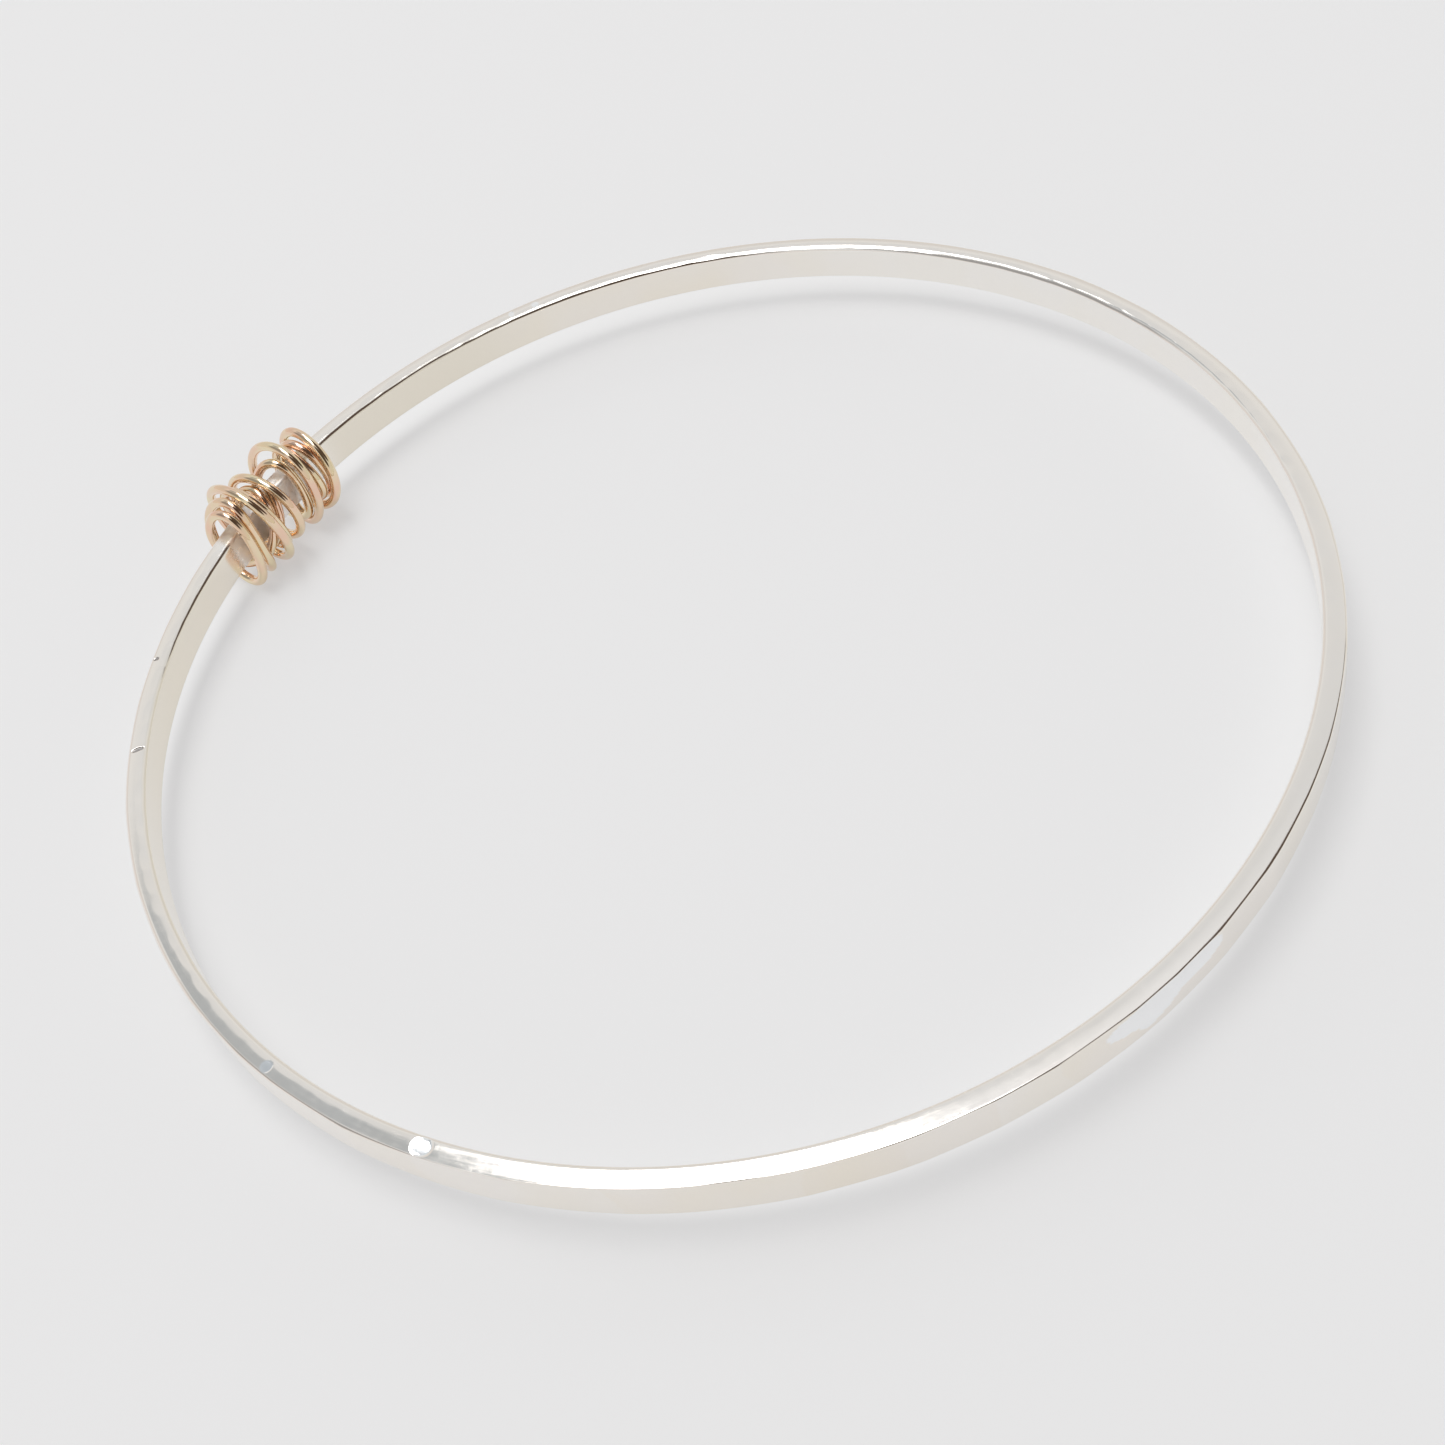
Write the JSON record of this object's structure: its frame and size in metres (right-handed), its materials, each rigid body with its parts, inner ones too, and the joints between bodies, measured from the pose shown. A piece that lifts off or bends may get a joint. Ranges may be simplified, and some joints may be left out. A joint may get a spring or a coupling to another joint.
{
  "type": "bangle bracelet",
  "caption": "Round hammered silver hoop bangle with a loose, uneven wrap of gold wire that slides round the band.",
  "frame": {"origin": "the hoop's centre, halfway up the band", "axes": "+Z along the hoop's axis; the wire wrap is stored 136 degrees round from +X, counterclockwise from above"},
  "size_m": [0.0676, 0.0676, 0.0065],
  "materials": {
    "hammered_silver": "solid silver, hammered on the outside and softly polished, with fine handling scratches",
    "gold_wire": "rose-gold coloured round wire, bright polished, with faint drawing and bending marks"
  },
  "bodies": {
    "hoop": {"hoop": "hammered_silver"},
    "wire_wrap": {"wire_wrap": "gold_wire"}
  },
  "joints": [
    {"name": "wrap_slide", "type": "hinge", "parent": "hoop", "child": "wire_wrap", "pos_m": [0, 0, 0], "axis": [0, 0, 1], "continuous": true}
  ]
}
